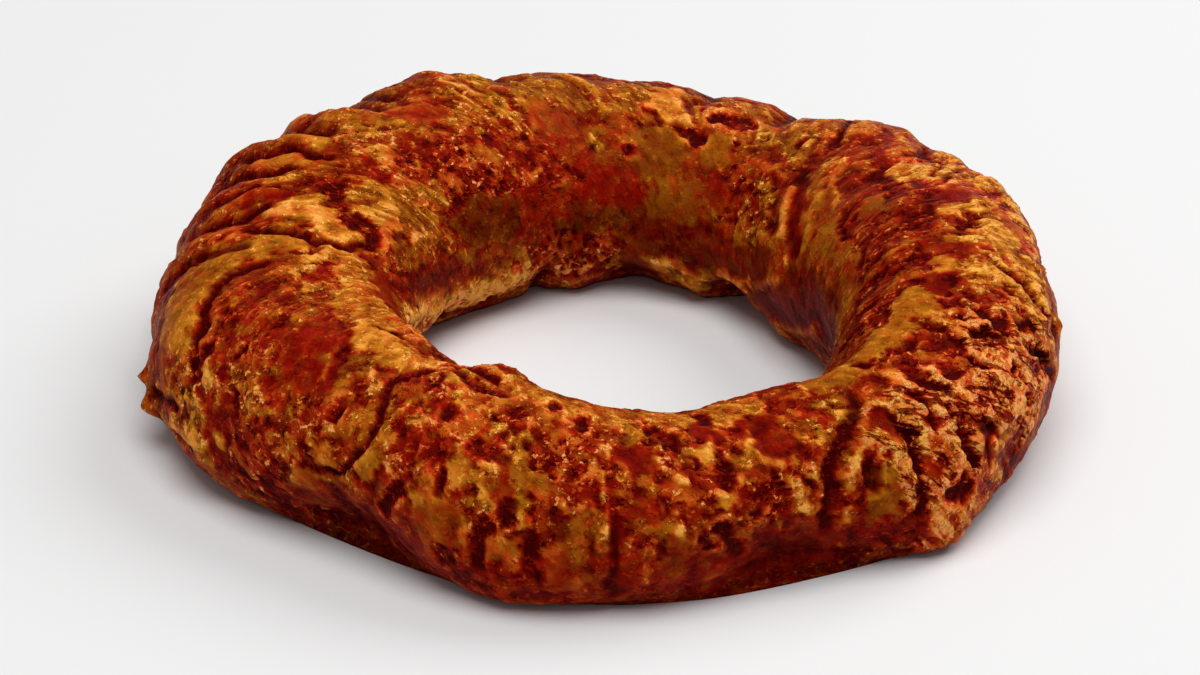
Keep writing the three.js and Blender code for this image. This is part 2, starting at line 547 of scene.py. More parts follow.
# %% The strand that sweeps down the left end
skin([(181, 90), (183, 70), (187, 54), (193, 36)], 4.2, 0.5, 0.8, streaks=0.25, syrup=0.18)
skin([(194.3, 35)], 1.6, 0.54, syrup=0)
fold([(185.3, 92), (187.2, 78), (190, 65), (195.4, 52), (199.5, 37), (201.6, 26), (203.6, 20)], 0.7, 1.2)
skin([(187.6, 84), (189.8, 78)], 1.6, 0.17, syrup=0.9)
skin([(212, 79), (219, 62)], 4.6, 0.24, blisters=0.15, syrup=1)
ridge([(217, 77), (219, 69), (221, 61)], 0.5, 0.4, 0.66)
skin([(210, 130), (216, 126)], 2.6, 0.66, streaks=0.8, syrup=0.8)
skin([(184, 108), (192, 104), (198, 100)], 2.6, 0.6, blisters=1, syrup=0.5)
skin([(180, 143), (192, 143)], 2.2, 0.22, syrup=0.8)
skin([(216, 102), (224, 98)], 3.4, 0.72, 0.5, streaks=0.3, syrup=0.1)
skin([(226, 92)], 1.8, 0.58, syrup=0)
ridge([(224, 84), (226.6, 76), (228.4, 68)], 0.7, 0.5, 0.76)
fold([(213, 106), (217, 111), (223, 114)], 0.5, 0.5)
print("big strand painted; relief", relief.min().round(1), "to", relief.max().round(1))

# %% [markdown]
# ## Syrup grains on the left
#
# Inside that strand's curve the syrup dried in grains, with small pits between them. Near
# the floor the skin is smooth again and turns out in a lip.

# %% The speckled left end
pit([(201, 42), (201.8, 35)], 1.2, 1.1, 0.12)
pit([(203, 28)], 1.1, 1.0, 0.1)
pit([(197, 62)], 1.0, 0.7, 0.14)
pit([(206, 55), (206.3, 45)], 0.7, 0.8, 0.14)
skin([(205.3, 30)], 1.5, 0.58, 0.4, syrup=0)
skin([(213, 50), (217, 40)], 1.8, 0.62, blisters=1, syrup=0.35)
skin([(224, 50), (226.4, 40)], 1.8, 0.26, blisters=0.5, syrup=1)
pit([(227.2, 50)], 0.9, 0.8, 0.14)
pit([(225.6, 38)], 0.8, 0.6, 0.16)
ridge([(226, 22), (223.6, 12), (222.4, -8)], 0.6, 0.6, 0.72)
skin([(225.8, 2), (226, -16)], 3.0, 0.46, 0.6, syrup=0.35)
skin([(216, 14), (217, -14)], 3.8, 0.32, blisters=0.8, streaks=0.4, syrup=0.95)
skin([(210.6, 3)], 1.8, 0.56, 0.3, syrup=0.15)
skin([(203, 12), (207, 6)], 2.4, 0.56, blisters=1, syrup=0.25)
fold([(192, -7), (196, -1), (201.6, 5)], 0.9, 1.1)
ridge([(194, -18), (201, -10), (208, -5)], 0.9, 0.5, 0.62)
fold([(199, -18), (206, -11)], 0.6, 0.6)
skin([(190, 16), (196, 12)], 2.6, 0.28, streaks=0.7, syrup=0.8)
print("left painted; browning", browning_and_painted_light.min().round(2), "to", browning_and_painted_light.max().round(2))

# %% [markdown]
# ## Left of the front
#
# The longest fold runs down here in the shape of an S, with a crimson pool at its head.
# Smooth brown panels lie low on the side, with pits and grains of syrup over them.

# %% From the left end to the front
skin([(250, 110), (256, 104)], 3.4, 0.7, blisters=0.2, streaks=0.6, syrup=0.1)
skin([(226.5, 104), (231.5, 98)], 3.0, 0.72, blisters=0.3, streaks=0.6, syrup=0.25)
skin([(229, 76), (229, 67)], 1.3, 0.6, blisters=1, syrup=0.2)
skin([(236, 81), (241, 77)], 4.4, 0.36, blisters=0.9, syrup=0.8)
pit([(236, 110), (248.6, 100)], 2.1, 1.5, 0.26)
pit([(237.5, 103), (243.4, 94)], 1.0, 1.0, 0.22)
ridge([(236, 107), (241.5, 107), (249.6, 99)], 0.45, 0.6, 0.6)
pit([(243, 75), (243.4, 70)], 1.2, 0.6, 0.2)
pit([(237.6, 67)], 0.9, 0.5, 0.22)
skin([(240, 62), (248, 64)], 1.4, 0.6, blisters=0.6, syrup=0.6)
skin([(243.5, 86), (247, 80), (250, 72)], 2.3, 0.6, blisters=0.7, syrup=0.05)
skin([(247, 71)], 1.3, 0.76, blisters=1, syrup=0.15)
skin([(252.5, 82)], 2.1, 0.28, -0.4, blisters=1, syrup=1)
ridge([(255.6, 87), (255.7, 76), (255, 66), (253.6, 58)], 0.55, 0.6, 0.88)
skin([(227, 46), (231, 50), (231.4, 34)], 2.2, 0.44, blisters=0.5, syrup=0.5)
pit([(226.6, 54), (226.8, 46)], 1.2, 0.8, 0.16)
skin([(228, 24)], 1.7, 0.5, blisters=1, syrup=0.8)
s_fold = [(225, 11.5), (229.6, 14.5), (232.2, 23), (233.5, 40), (233.7, 54)]
fold(s_fold + [(232.2, 65), (230.4, 78), (230.8, 90), (234.5, 97)], 0.65, 1.4)
ridge([(230.6, 6), (232.8, 18), (234, 32), (234.6, 44)], 0.6, 0.8, 0.72)
skin([(235.2, 32), (235, 20)], 1.4, 0.52, syrup=0.05)
skin([(239, 46), (240, 32)], 2.7, 0.32, blisters=1, syrup=1)
ridge([(237.6, 34), (238.6, 27)], 0.7, 0.4, 0.82)
skin([(243.6, 54), (245, 42)], 2.9, 0.27, blisters=0.5, syrup=1)
ridge([(241.6, 50), (242.2, 40)], 0.5, 0.3, 0.66)
pit([(246.3, 36), (246.2, 26)], 1.1, 1.2, 0.12)
pit([(240, 19), (238.6, 8), (237.8, 2)], 1.3, 1.2, 0.14)
skin([(246, 14), (246, -8)], 4.0, 0.42, 0.5, syrup=0.5)
skin([(243.2, 19)], 1.2, 0.56, syrup=0.1)
skin([(248.6, 44), (248.6, 34)], 1.6, 0.52, 0.4, syrup=0.1)
skin([(252, 44), (252, 24)], 1.6, 0.6, blisters=1, syrup=0.35)
pit([(249.5, 58), (254, 54)], 1.5, 0.6, 0.27)
skin([(254.8, 46), (254.8, 32)], 0.9, 0.26, syrup=1)
pit([(256, 31), (255.6, 20)], 1.1, 1.1, 0.14)
pit([(253.2, 14), (252.4, 2), (252.4, -8)], 1.3, 1.0, 0.14)
ridge([(250.4, 16), (250.5, -2)], 0.5, 0.4, 0.62)
skin([(255.5, 6), (255.6, -4)], 1.6, 0.42, syrup=0.45)
skin([(247, -12), (251, -14)], 2.2, 0.32, blisters=1, syrup=1)
skin([(252, -22), (260, -18)], 4.0, 0.17, blisters=0.5, syrup=1)
skin([(257, 72), (257, 44), (257.4, 20)], 1.2, 0.58, blisters=0.3, syrup=0.1)
print("left front painted; relief", relief.min().round(1), "to", relief.max().round(1))

# %% [markdown]
# ## The front
#
# The front has the most marks and the smallest ones: a golden edge along the hole, two
# burst bubbles, a field of red grains, and upright creases over a smooth brown flank.

# %% The front
skin([(252, 108), (262, 104), (280, 103), (292, 103)], 3.4, 0.72, blisters=0.3, streaks=0.6, syrup=0.2)
skin([(272.4, 92), (272.4, 80)], 1.0, 0.6, blisters=0.4, syrup=0)
pit([(258.9, 97)], 1.3, 1.1, 0.12)
pit([(263.8, 88)], 1.8, 1.2, 0.16)
pit([(274.6, 96)], 0.6, 0.5, 0.2)
pit([(275.1, 88), (275.3, 80)], 0.8, 0.7, 0.18)
ridge([(260.5, 89), (270, 89)], 0.35, 0.3, 0.75)
skin([(261, 62), (263, 44)], 4.0, 0.36, blisters=1, syrup=0.9)
skin([(271.4, 70), (273.4, 66), (273.4, 60)], 2.0, 0.2, -0.6, syrup=1)
ridge([(276, 72), (276.6, 61), (278.3, 52), (280.4, 44)], 0.6, 0.7, 0.8)
ridge([(268.2, 75), (268.2, 60)], 0.4, 0.4, 0.66)
ridge([(267.8, 57), (268.2, 38), (268.1, 18), (267.9, 4)], 0.55, 0.9, 0.76)
skin([(269.4, 26), (269.5, 7), (269.6, -10), (269.5, -28)], 1.0, 0.2, -0.6, syrup=1)
skin([(266, 26), (266, -16)], 2.1, 0.45, 0.4, blisters=0.3, syrup=0.5)
skin([(262.4, 26), (262.3, 14)], 1.5, 0.16, -0.7, blisters=0.6, syrup=1)
skin([(259.4, 10), (259, -3)], 1.8, 0.14, -0.8, blisters=0.6, syrup=1)
skin([(262.6, 2), (262.8, -18)], 2.3, 0.38, 0.4, syrup=0.5)
skin([(272, 46), (275, 46)], 2.0, 0.37, blisters=0.8, syrup=0.8)
skin([(271.8, 30), (274.8, 30)], 1.6, 0.29, -0.3, blisters=0.1, syrup=1)
skin([(272.4, 10)], 1.8, 0.42, blisters=1, syrup=0.9)
skin([(270.8, -8), (271, -26)], 1.2, 0.2, syrup=0.9)
skin([(277, 4), (277, -26)], 2.2, 0.4, syrup=0.6)
ridge([(277.8, 32), (277.8, 22), (277.6, 14)], 0.65, 0.6, 0.86)
fold([(275.4, 16), (275.2, -4)], 0.4, 0.5)
skin([(282.5, 68)], 1.5, 0.6, 0.3, syrup=0)
ridge([(284.6, 82), (283.8, 74), (283.4, 66)], 0.5, 0.5, 0.78)
skin([(284.4, 35)], 1.8, 0.57, 0.3, blisters=0.2, syrup=0)
ridge([(286.3, 38), (286.2, 26)], 0.45, 0.5, 0.8)
pit([(284.8, 56), (284.8, 46)], 1.7, 1.0, 0.18)
pit([(284.9, 64)], 0.8, 0.5, 0.18)
ridge([(288.3, 73), (288.3, 62), (287.4, 52)], 0.65, 0.7, 0.82)
skin([(280, 60), (280.4, 52)], 1.6, 0.28, blisters=0.8, syrup=0.9)
skin([(279, 76)], 1.4, 0.28, blisters=1, syrup=0.6)
skin([(283.6, 88), (284, 82)], 2.0, 0.17, -0.5, syrup=1)
fold([(284.8, 112), (284.4, 98), (284, 90)], 1.2, 0.8)
skin([(287.4, 82), (289.4, 82)], 1.9, 0.34, blisters=0.4, syrup=0.9)
pit([(281.6, 11), (282, 2)], 1.4, 0.8, 0.16)
pit([(283.6, 14), (285, 2), (286.4, -10)], 1.6, 0.9, 0.12)
skin([(288, 16), (288, -2)], 1.1, 0.5, blisters=1, syrup=0.9)
skin([(292.4, 14), (293.6, 5)], 1.2, 0.2, -0.4, syrup=1)
skin([(284, -22), (298, -22)], 4.5, 0.33, syrup=0.7)
print("front painted; browning", browning_and_painted_light.min().round(2), "to", browning_and_painted_light.max().round(2))

# %% [markdown]
# ## The front right
#
# The ropes were pinched here. A square pool of syrup has a golden rim, a pale double ridge
# stands beside it, two deep folds run right down, and an arch of dough frames a pit.

# %% The front right, where the ropes crowd together
skin([(292.6, 77), (293.8, 61)], 3.2, 0.3, -1.6, blisters=0.1, syrup=1)
skin([(293, 54.5), (296, 56)], 0.9, 0.18, -0.4, syrup=1)
ridge([(289.4, 60), (291.6, 54), (294.4, 49)], 0.8, 0.9, 0.78)
ridge([(290, 84), (290, 70), (289.4, 62)], 0.5, 0.5, 0.66)
skin([(289, 40), (291.5, 32), (290.4, 24)], 2.8, 0.27, -0.6, blisters=1, syrup=1)
ridge([(295, 44), (295, 30), (295.6, 14), (296, 5)], 0.95, 1.3, 0.94)
ridge([(296.6, 42), (297.8, 28), (298, 12)], 0.85, 1.0, 0.84)
fold([(296.2, 40), (296.6, 24)], 0.35, 0.6)
long_fold = [(308.6, 91), (306.4, 70), (303.6, 58), (301.2, 49.5), (300, 38)]
fold(long_fold + [(299.3, 27), (298.9, 10), (298.6, -3), (299.6, -16)], 1.25, 1.5)
skin([(300.8, 40), (300.6, 28)], 1.1, 0.3, syrup=1)
skin([(301, 76), (304, 72)], 2.5, 0.56, blisters=1, syrup=0.2)
skin([(298.2, 76)], 0.8, 0.2, -0.3, syrup=1)
ridge([(297.8, 66), (299, 58), (300.4, 64)], 0.6, 0.6, 0.84)
ridge([(303, 108), (302.4, 96), (301.8, 88)], 0.6, 0.6, 0.82)
skin([(309.6, 84), (309.8, 76)], 1.5, 0.35, blisters=0.4, syrup=0.9)
skin([(308.6, 54), (309.8, 48)], 1.8, 0.18, -0.6, syrup=1)
fold([(311.2, 62), (311.5, 46), (311, 34), (311.1, 14), (311.5, -2), (311.8, -14)], 0.95, 1.7)
skin([(313, 20), (313.6, 10)], 1.4, 0.31, syrup=1)
ridge([(301.8, 10), (302, 28), (304, 41), (306.4, 46.5), (308.6, 41)], 0.85, 1.0, 0.72)
ridge([(308.8, 42), (309.5, 28), (309.6, 10)], 1.15, 1.1, 0.74)
pit([(305, 28), (305.2, 18)], 1.4, 1.5, 0.15)
skin([(307.4, 32), (307.4, 22)], 0.8, 0.5, blisters=1, syrup=0.1)
skin([(306, 8), (306.4, -8)], 3.2, 0.47, 0.4, syrup=0.15)
ridge([(301.7, 14), (301.6, -8)], 0.6, 0.4, 0.74)
skin([(306, -18), (310, -16)], 2.8, 0.27, blisters=0.5, syrup=1)
skin([(306, 101), (320, 100), (332, 96)], 2.6, 0.52, 0.4, blisters=0.15, syrup=0.02)
print("front right painted; relief", relief.min().round(1), "to", relief.max().round(1))

# %% [markdown]
# ## The right end
#
# The crust has blown up into a honeycomb of burst bubbles, painted black at the bottom
# as shade and a paler salmon along the walls as a highlight. The biggest holes and slits
# are marks; the small ones come with the texture.

# %% The honeycombed right end
ridge([(312.2, 74), (312.4, 58), (312.2, 42)], 0.85, 0.7, 0.76)
skin([(315, 76)], 2.0, 0.62, 0.5, blisters=0.1, syrup=0.6)
skin([(318, 84), (318, 60)], 1.6, 0.22, -0.7, blisters=1, syrup=1)
skin([(322, 76), (324.4, 62)], 3.0, 0.3, -0.6, blisters=1, syrup=1)
ridge([(320.4, 76), (322.4, 81), (324.6, 78)], 0.4, 0.5, 0.72)
fold([(326.8, 92), (327.4, 76), (327.6, 58)], 0.7, 1.0)
ridge([(328.8, 88), (328.8, 74), (329, 60)], 0.6, 0.5, 0.68)
fold([(313, 101), (313.6, 96), (314, 90)], 0.6, 1.0)
pit([(315.2, 62), (315.6, 50)], 0.6, 1.0, 0.12)
pit([(315, 44), (315.6, 38)], 1.0, 1.3, 0.1)
ridge([(317, 48), (318, 53), (319.8, 51), (320, 45)], 0.6, 0.7, 0.78)
fold([(318.2, 46), (318.5, 34)], 0.4, 0.7)
pit([(318.8, 29), (318.5, 18)], 1.0, 1.6, 0.08)
pit([(318.8, 14), (320.4, 4)], 1.2, 1.8, 0.08)
ridge([(316.6, 30), (317.4, 12), (319.4, -2)], 0.6, 0.7, 0.74)
skin([(322.6, 18), (322.8, 4)], 1.2, 0.2, -1.0, syrup=1)
fold([(323.4, 30), (323.7, 12), (323.8, -8)], 0.5, 0.8)
ridge([(321, 28), (321.4, 16), (321.8, 2)], 0.6, 0.7, 0.78)
pit([(315.4, -4), (318.2, -7)], 1.2, 1.4, 0.12)
pit([(317.6, 1)], 0.8, 0.8, 0.12)
pit([(334.4, 64), (335.4, 56), (336.6, 49)], 1.6, 1.0, 0.2)
pit([(341, 57)], 0.8, 0.5, 0.2)
fold([(337.8, 44), (340.4, 38), (343.6, 32)], 1.0, 1.2)
pit([(340.2, 24), (340, 14)], 1.1, 1.2, 0.1)
fold([(340.4, 24), (342, 10), (345.6, -4)], 0.9, 1.3)
fold([(347.6, 69), (347.4, 54), (346.8, 36)], 0.75, 1.9)
skin([(352.5, 52), (353, 42)], 1.1, 0.36, blisters=0.4, syrup=0)
skin([(0, 56), (4, 54)], 2.0, 0.28, syrup=0.8)
skin([(355, 62), (357.5, 57)], 2.6, 0.68, 0.4, streaks=0.7, syrup=0.15)
skin([(341, 90), (344.5, 90)], 1.4, 0.58, 0.4, syrup=0.05)
skin([(336, 90), (338.5, 88)], 1.6, 0.17, -0.3, syrup=1)
skin([(333, 81), (338, 81)], 1.8, 0.27, blisters=0.8, syrup=1)
skin([(348, 92), (349, 80)], 1.3, 0.22, syrup=1)
fold([(351.6, 86), (356, 82), (0.6, 77), (2.6, 74)], 1.1, 1.0)
ridge([(354, 90), (0, 89), (4.6, 88)], 0.5, 0.5, 0.74)
skin([(1, 85), (4, 81)], 1.7, 0.64, 0.5, streaks=0.6, syrup=0.5)
ridge([(3, 74), (7, 71), (11, 70)], 0.5, 0.5, 0.68)
print("honeycomb painted; craters", craters.mean().round(2))

# %% [markdown]
# ## The tall right side
#
# The ring is tallest at the right. Its wall inside the hole has soft vertical dents, and
# behind it a dark red lump stands out of golden streaks. Most of its marks are faint ones.

# %% The tall right side and the lump behind it
ridge([(0, 187), (10, 196.5), (20, 203), (29, 209)], 1.2, 0.9, 0.52)
# Painted shade low on the wall inside the hole.
skin([(2, 176), (14, 183), (24, 191), (34, 200)], 3.8, 0.14, syrup=0.8)
ridge([(20, 170), (30, 179.6), (42, 189)], 0.8, 0.7, 0.5)
ridge([(42, 189), (46, 191.5), (58, 194)], 0.9, 0.9, 0.62)
# More painted shade low on the wall inside the hole.
skin([(36, 177), (46, 174), (60, 172)], 4.2, 0.2, syrup=0.6)
ridge([(22.6, 166), (26.8, 160)], 0.6, 0.6, 0.72)
skin([(4, 147), (13, 138)], 1.6, 0.5, syrup=0)
skin([(22, 158), (28, 146), (32, 135), (37, 126), (44, 113)], 1.3, 0.22, -0.9, syrup=0.9)
skin([(37.5, 150), (42, 142), (46, 132), (48.7, 124)], 1.3, 0.22, -0.9, syrup=0.8)
skin([(31, 152), (36, 138), (42, 122)], 1.2, 0.52, 0.7, syrup=0.55)
skin([(18, 152), (24, 138), (29, 124)], 1.2, 0.5, 0.5, syrup=0.35)
ridge([(42.6, 146), (48, 129), (51, 122)], 0.5, 0.5, 0.62)
ridge([(17, 129), (27, 118), (35, 108)], 0.5, 0.4, 0.56)
skin([(1, 126), (8, 128), (16, 120)], 2.3, 0.21, streaks=0.6, syrup=1)
skin([(18, 112), (26, 106)], 3, 0.21, streaks=0.5, syrup=0.95)
skin([(10, 113)], 2.6, 0.42, syrup=0.3)
fold([(0, 129), (4, 133), (10, 131), (17, 124)], 0.5, 0.5)
skin([(36, 105), (38, 101)], 2.2, 0.7, 0.3, blisters=0.7, syrup=0.15)
skin([(36, 94)], 1.1, 0.6, syrup=0.9)
skin([(43, 116), (46, 108)], 2.3, 0.24, blisters=0.6, syrup=0.7)
skin([(50, 102), (53, 92)], 2.4, 0.5, blisters=0.7, syrup=0.05)
pit([(51.4, 96)], 0.7, 0.6, 0.16)
skin([(55, 84)], 1.5, 0.66, blisters=0.4, syrup=0)
skin([(48, 148), (56, 140)], 4.5, 0.44, blisters=0.9, syrup=0.5)
skin([(57.6, 125)], 0.9, 0.52, 0.3, syrup=1)
skin([(0, 100), (14, 98), (26, 97)], 2.5, 0.17, streaks=0.7, blisters=0.6, syrup=1)
ridge([(6, 95), (16, 93), (28, 90)], 0.4, 0.5, 0.7)
skin([(20, 86), (26, 84)], 2.6, 0.72, streaks=0.8, syrup=0.3)
skin([(34, 82), (42, 76)], 4.4, 0.3, 1.0, blisters=0.5, syrup=0.85)
skin([(34, 83)], 1.0, 0.5, syrup=0.7)
fold([(30.4, 77), (33, 68), (36, 57)], 1.0, 1.2)
ridge([(36, 74), (40, 66), (43, 60)], 0.8, 0.5, 0.62)
skin([(8, 82), (10, 74)], 2.2, 0.2, -0.4, syrup=1)
fold([(14, 82), (20, 72), (25, 60)], 0.4, 0.6)
fold([(18, 84), (24, 74), (29, 62)], 0.4, 0.6)
fold([(44, 96), (47.4, 84), (50.6, 68), (52, 54)], 0.8, 1.3)
print("right side painted; relief", relief.min().round(1), "to", relief.max().round(1))

# %% [markdown]
# ## The back wall of the hole
#
# The wall inside the back is almost smooth, orange-brown turning to olive, and painted dark
# at the foot as shade. A few bubbles burst near its top, and the foot spreads in golden lobes.

# %% The back wall of the hole
skin([(66, 202), (78, 200)], 3.2, 0.5, 0.8, blisters=0.3, syrup=0)
ridge([(66, 194), (72, 195), (79, 194)], 0.8, 0.6, 0.64)
# Painted shade at the foot of the wall.
skin([(84, 208), (86, 198)], 2.8, 0.11, syrup=0.7)
skin([(94, 196), (112, 196)], 4.6, 0.42, blisters=1, syrup=0.9)
skin([(98, 190), (108, 182)], 2.0, 0.25, blisters=1, syrup=1)
skin([(57, 194)], 1.8, 0.52, syrup=0.8)
skin([(57.5, 148)], 1.4, 0.5, blisters=1, syrup=0.9)
skin([(57, 132), (59, 124)], 2.0, 0.3, blisters=1, syrup=1)
skin([(62, 140), (65, 136)], 2.0, 0.25, syrup=0.9)
skin([(75, 150), (80, 140), (79, 118)], 4.6, 0.4, syrup=0.15)
skin([(88, 150), (97, 146)], 4.0, 0.27, syrup=0.9)
skin([(67.6, 120), (68, 108)], 2.0, 0.46, syrup=0)
pit([(87, 125)], 1.0, 0.6, 0.2)
skin([(94.3, 125)], 1.2, 0.62, 0.3, blisters=1, syrup=0.3)
pit([(72, 110), (78, 104)], 1.2, 1.0, 0.17)
skin([(79, 98), (81, 86), (81, 78)], 2.6, 0.72, 0.4, blisters=0.2, syrup=0.35)
pit([(66, 91), (70.6, 91)], 1.7, 1.0, 0.2)
skin([(72.6, 82)], 1.6, 0.64, blisters=0.3, syrup=0.7)
skin([(61, 88), (63, 80)], 1.6, 0.6, blisters=0.5, syrup=0.5)
pit([(64.3, 106)], 0.8, 0.6, 0.2)
pit([(83.8, 98)], 1.1, 0.8, 0.18)
pit([(74.6, 88)], 0.6, 0.5, 0.2)
skin([(99, 94), (105, 90), (101, 80)], 3.0, 0.56, streaks=0.6, syrup=0.05)
skin([(110, 120), (118, 96), (116, 80)], 4.0, 0.6, blisters=0.6, streaks=1, syrup=0.35)
pit([(111.5, 105)], 0.9, 0.7, 0.2)
skin([(107, 146), (114, 136)], 4, 0.42, blisters=0.7, syrup=0.75)
skin([(102, 118), (106, 112)], 3, 0.42, syrup=0.6)
print("back wall painted; browning", browning_and_painted_light.min().round(2), "to", browning_and_painted_light.max().round(2))

# %% [markdown]
# ## The outside of the back
#
# This side faces away from whoever takes the bread. It has nothing special on it, only the
# twist: leaning folds with a swollen strand beside each. They repeat, so a loop lays them
# down, with a seeded random hand that changes their place, lean, tone and depth a little.
# Each crease is given as shares of its lean, with a tube angle for each share.

# %% The leaning strands on the outside of the back
hand = random.Random(7)
STRAND_SPACING = 13
FIRST_STRAND = 30
LAST_STRAND = 150
STRAND_WIDTH = 2.4
STRAND_HEIGHT = 1.0
CREASE = [(0, 44), (0.3, 22), (0.6, 0), (1, -28)]

for ring_angle in range(FIRST_STRAND, LAST_STRAND, STRAND_SPACING):
    top = ring_angle + hand.uniform(-3, 3)
    lean = hand.uniform(10, 16)
    crease = [(top + share * lean, tube_angle) for share, tube_angle in CREASE]
    strand_top = [(along + STRAND_SPACING / 3, around) for along, around in crease]
    tone = hand.uniform(0.36, 0.56)
    sweetness = hand.uniform(0.2, 0.7)
    skin(strand_top, STRAND_WIDTH, tone, STRAND_HEIGHT, streaks=0.4, blisters=0.2, syrup=sweetness)
    fold(crease, hand.uniform(0.8, 1.2), hand.uniform(0.9, 1.3))
print("back painted; relief", relief.min().round(1), "to", relief.max().round(1))

# %% [markdown]
# ## A last look at the heat, and painted shade
#
# An oven browns one side more than the other, and syrup runs. A few broad tints go over
# all the marks, the way a baker turns the tray for the last minutes; two of them also paint
# shade, low on the front and along the outside of the back left. Two strengths, one of them
# doubled once, are enough, because the marks already carry the small changes. A short list
# of broad tints can be read and changed; a long one of tiny tints can't.

# %% Where the oven and the syrup were heavier or lighter, and where shade is painted
A_LITTLE = 0.08
CLEARLY = 0.16
BROAD_REACH = 8
NARROW_REACH = 4


def tint(path, reach, paler, sweeter):
    """Makes a stretch paler and more syrupy; negative values make it darker and barer."""
    share = near(path, reach)
    browning_and_painted_light[:] += paler * share
    syrup[:] += sweeter * share


# Syrup ran down and gathered low on the front, and the low front, which faces down, is painted darker as
# shade.
tint([(215, -20), (250, -22), (290, -20), (330, -24)], BROAD_REACH, -CLEARLY, 0.3)
# The crown of the front was brushed once more.
tint([(250, 115), (300, 112)], NARROW_REACH, -A_LITTLE, 0.3)
# The outside of the back left is painted darker as shade, and a little more syrupy.
tint([(90, 44), (135, 44), (180, 40)], BROAD_REACH, -CLEARLY, 0.2)
# Inside the back, left of the middle, the crust is redder than beside it.
tint([(105, 145), (130, 140)], BROAD_REACH, -A_LITTLE, 0.3)
# The lip at the foot of the hole stayed pale, because little syrup reached it.
tint([(120, 200), (145, 200), (165, 190)], NARROW_REACH, 2 * CLEARLY, -0.5)
# The outside of the right end, and the lump at its far side, are a little paler.
tint([(350, 50), (15, 55)], BROAD_REACH, A_LITTLE, -0.2)
tint([(30, 84), (45, 78)], BROAD_REACH, A_LITTLE, 0)
print("browning after the tints, middle half:", np.percentile(browning_and_painted_light, (25, 75)).round(2))

# %% [markdown]
# ## The grain of the dough
#
# Between the marks the crust has three textures: streaks, where the dough was pulled as
# the ropes were twisted; blisters, small crisp grains of burst syrup skin; and craters, a
# honeycomb of ridges round sunken bubbles. Each is noise, stretched along the strands,
# which lean over the tube. Image textures would need the crust to be unwrapped; noise in
# space needs only each point's place.

# %% Places along the strands, cells and crests
STRAND_LEAN = 34


def strand_places(stretch):
    """Positions measured across the strands, and much less along them."""
    turn = np.radians(ring_deg + STRAND_LEAN * (tube_deg - 90) / 180)
    middle = sections[:, 0, None]
    along = tube_deg * mm_per_tube_degree / stretch
    return np.stack([middle * np.cos(turn), middle * np.sin(turn), along], -1)


def cells_at(places, size, seed=0):
    """Distance to the nearest cell border, 0 to about 0.5, and a random value for each cell."""
    border = np.empty(places.shape[:-1])
    value = np.empty(places.shape[:-1])
    shift = Vector((seed * 3.7, seed * 8.3, seed * 1.9))
    for index, place in zip(np.ndindex(border.shape), places.reshape(-1, 3) / size):
        distances, centres = noise.voronoi(Vector(place) + shift)
        border[index] = distances[1] - distances[0]
        value[index] = noise.cell(centres[0] * 7.3)
    return border, value


def ridged(values, sharpness):
    """Turns smooth noise into sharp crests, 0 in the valleys and 1 on the crests."""
    return np.clip(1 - sharpness * np.abs(values), 0, 1)


# %% [markdown]
# ## Pools and flats
#
# In the rough places syrup gathers in small pools, which sink and turn red, and the dough
# between them dries in flat, golden scales. One noise gives both: its highs are the pools,
# its lows the flats.

# %% Pools of syrup and dry flats
patches = noise_at(strand_places(1.5) + wobble[..., :1] * 0.5, 4.6, 31) + 0.4 * noise_at(dough, 1.7, 32)
rough_zone = np.clip(1.5 * blisters - 0.3, 0, 1)
pools = soft_step(patches, 0.17, 0.27) * rough_zone
flats = soft_step(patches, -0.2, -0.3) * rough_zone
relief += 0.12 * flats - 0.3 * pools
browning_and_painted_light += 0.04 * flats - 0.1 * pools
blend_in(syrup, 1, pools)
syrup -= 0.3 * flats
blend_in(blisters, 0.12, 0.85 * flats)
blend_in(blisters, 0.35, pools)
print("share of pools", pools.mean().round(2), "and of flats", flats.mean().round(2))

# %% [markdown]
# ## The fine relief
#
# Now the three textures themselves, in millimetres. They are real relief, not a bump, for
# the crust's edge against the light is as rough as its face. The finest grain is left to
# the material.

# %% Streaks, blisters and craters
STREAK_STRETCH = 7
STREAK_SIZES = (1.6, 3.6)
STREAK_HEIGHTS = (0.35, 0.4)
STREAK_SHARPNESS = 3.2
BLISTER_SIZE = 1.35
BLISTER_HEIGHT = 0.6
CRATER_SIZE = 2.2
CRATER_DEPTH = 1.0
CRATER_FLOOR_SHADE_TONE = 0.16
CRATER_WALL_HIGHLIGHT_TONE = 0.74

strand = strand_places(STREAK_STRETCH)
fine_streaks = ridged(noise_at(strand, STREAK_SIZES[0], 11), STREAK_SHARPNESS) - 0.5
wide_streaks = noise_at(strand, STREAK_SIZES[1], 12)
blister_clumps = soft_step(noise_at(dough, 4.5, 13), -0.3, 0.25)
blister_places = dough + wobble.sum(-1, keepdims=True) * 0.4
blister_border, blister_size = cells_at(blister_places, BLISTER_SIZE)
blister_domes = soft_step(blister_border, 0, 0.5) * blister_size * blister_clumps
crater_places = strand_places(1.8) + wobble[..., :1] * 0.9
crater_border, crater_sunk = cells_at(crater_places, CRATER_SIZE, 5)
crater_floor = soft_step(crater_border, 0.1, 0.36) * soft_step(crater_sunk, 0.2, 0.45)
# Painted shade on the sunken crater floors, which also fill with syrup, and a painted highlight on the walls
# between them.
blend_in(browning_and_painted_light, CRATER_FLOOR_SHADE_TONE, craters * crater_floor)
blend_in(browning_and_painted_light, CRATER_WALL_HIGHLIGHT_TONE, 0.5 * craters * (1 - crater_floor))
blend_in(syrup, 1, craters * crater_floor)

